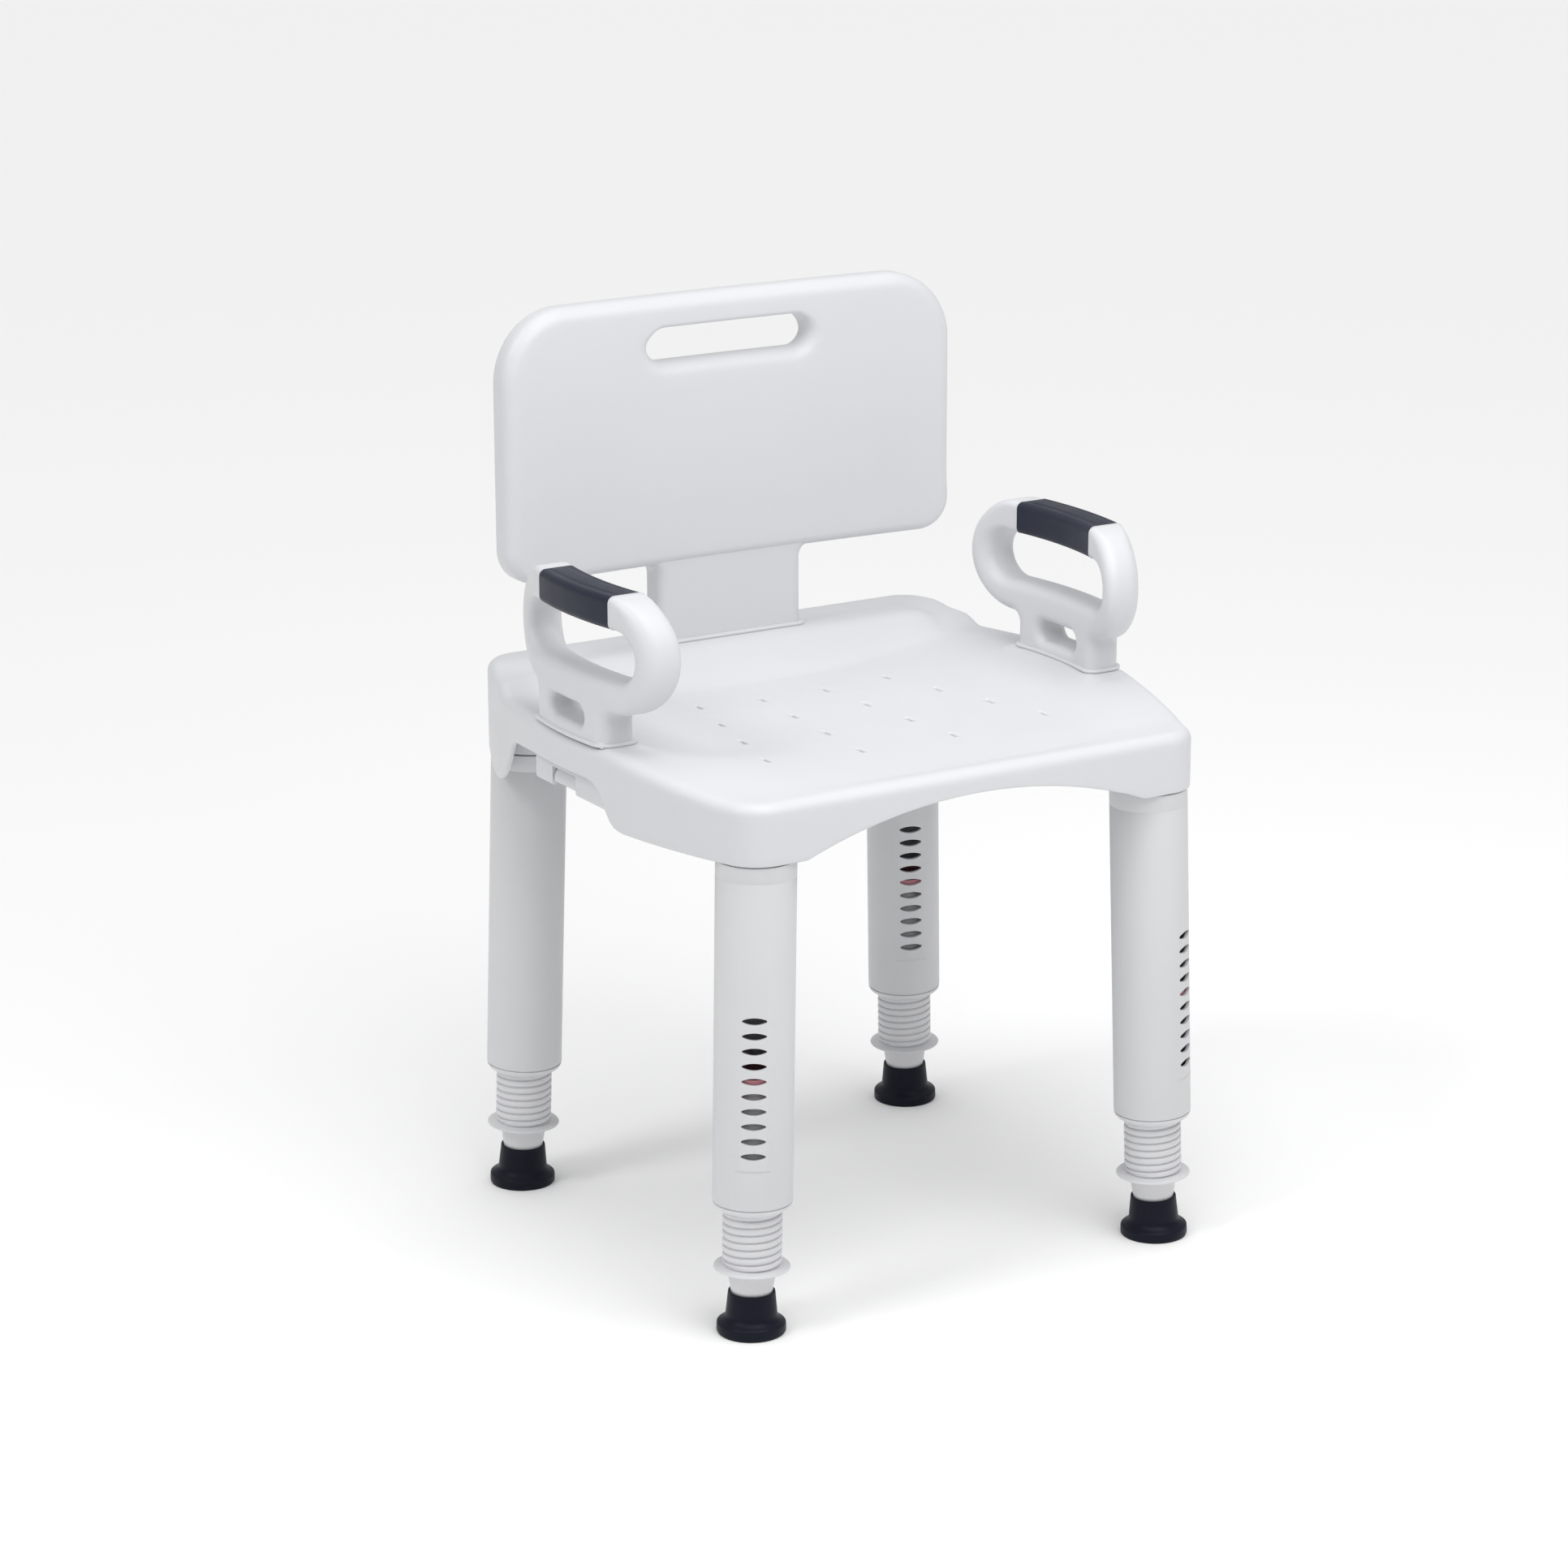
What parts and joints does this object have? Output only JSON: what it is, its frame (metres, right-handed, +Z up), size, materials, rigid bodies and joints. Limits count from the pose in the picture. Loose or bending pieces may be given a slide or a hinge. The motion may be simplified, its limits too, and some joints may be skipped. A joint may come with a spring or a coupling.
{
  "type": "shower chair",
  "caption": "White plastic shower chair with backrest, looped armrests with soft grips, and screw-adjusted legs on rubber feet.",
  "frame": {"origin": "on the floor under the centre of the four feet", "axes": "+X to the right seen from the front, +Y to the back, +Z up"},
  "size_m": [0.524, 0.459, 0.788],
  "materials": {
    "white_plastic": "satin",
    "tube_plastic": "satin",
    "leg_plastic": "satin",
    "latch_plastic": "satin",
    "marker_red": "matte",
    "grip_rubber": "satin",
    "foot_rubber": "satin"
  },
  "bodies": {
    "chair": {"seat_shell": "white_plastic", "fl_leg_tube": "tube_plastic", "fl_end_nut": "leg_plastic", "fr_leg_tube": "tube_plastic", "fr_end_nut": "leg_plastic", "rl_leg_tube": "tube_plastic", "rl_end_nut": "leg_plastic", "rr_leg_tube": "tube_plastic", "rr_end_nut": "leg_plastic"},
    "fl_foot_slide": {"fl_foot": "foot_rubber", "fl_height_marker": "marker_red"},
    "fl_threaded_leg": {"fl_screw_leg": "leg_plastic"},
    "fr_foot_slide": {"fr_foot": "foot_rubber", "fr_height_marker": "marker_red"},
    "fr_threaded_leg": {"fr_screw_leg": "leg_plastic"},
    "rl_foot_slide": {"rl_foot": "foot_rubber", "rl_height_marker": "marker_red"},
    "rl_threaded_leg": {"rl_screw_leg": "leg_plastic"},
    "rr_foot_slide": {"rr_foot": "foot_rubber", "rr_height_marker": "marker_red"},
    "rr_threaded_leg": {"rr_screw_leg": "leg_plastic"},
    "back": {"backrest": "white_plastic", "back_latch": "latch_plastic"},
    "left_arm": {"left_armrest": "white_plastic", "left_grip": "grip_rubber", "left_arm_latch": "latch_plastic"},
    "right_arm": {"right_armrest": "white_plastic", "right_grip": "grip_rubber", "right_arm_latch": "latch_plastic"}
  },
  "joints": [
    {"name": "fl_height", "type": "slide", "parent": "chair", "child": "fl_foot_slide", "axis": [0.027, 0.018, 0.9995], "range_m": [-0.0635, 0.0492]},
    {"name": "fl_screw", "type": "hinge", "parent": "fl_foot_slide", "child": "fl_threaded_leg", "pos_m": [-0.2035, -0.1985, 0], "axis": [0.027, 0.018, 0.9995], "range_deg": [-3640, 2820]},
    {"name": "fr_height", "type": "slide", "parent": "chair", "child": "fr_foot_slide", "axis": [-0.027, 0.018, 0.9995], "range_m": [-0.0635, 0.0492]},
    {"name": "fr_screw", "type": "hinge", "parent": "fr_foot_slide", "child": "fr_threaded_leg", "pos_m": [0.2035, -0.1985, 0], "axis": [-0.027, 0.018, 0.9995], "range_deg": [-3640, 2820]},
    {"name": "rl_height", "type": "slide", "parent": "chair", "child": "rl_foot_slide", "axis": [0.027, -0.018, 0.9995], "range_m": [-0.0635, 0.0492]},
    {"name": "rl_screw", "type": "hinge", "parent": "rl_foot_slide", "child": "rl_threaded_leg", "pos_m": [-0.2035, 0.1985, 0], "axis": [0.027, -0.018, 0.9995], "range_deg": [-3640, 2820]},
    {"name": "rr_height", "type": "slide", "parent": "chair", "child": "rr_foot_slide", "axis": [-0.027, -0.018, 0.9995], "range_m": [-0.0635, 0.0492]},
    {"name": "rr_screw", "type": "hinge", "parent": "rr_foot_slide", "child": "rr_threaded_leg", "pos_m": [0.2035, 0.1985, 0], "axis": [-0.027, -0.018, 0.9995], "range_deg": [-3640, 2820]},
    {"name": "back_lift", "type": "slide", "parent": "chair", "child": "back", "axis": [0, 0, 1], "range_m": [0, 0.056], "deforming": ["back_latch"]},
    {"name": "left_arm_lift", "type": "slide", "parent": "chair", "child": "left_arm", "axis": [0, 0, 1], "range_m": [0, 0.06], "deforming": ["left_arm_latch"]},
    {"name": "right_arm_lift", "type": "slide", "parent": "chair", "child": "right_arm", "axis": [0, 0, 1], "range_m": [0, 0.06], "deforming": ["right_arm_latch"]}
  ],
  "couplings": [
    {"joint": "fl_screw", "follows": "fl_height", "rad_per_m": 989.48},
    {"joint": "fr_screw", "follows": "fr_height", "rad_per_m": 989.48},
    {"joint": "rl_screw", "follows": "rl_height", "rad_per_m": 989.48},
    {"joint": "rr_screw", "follows": "rr_height", "rad_per_m": 989.48}
  ]
}
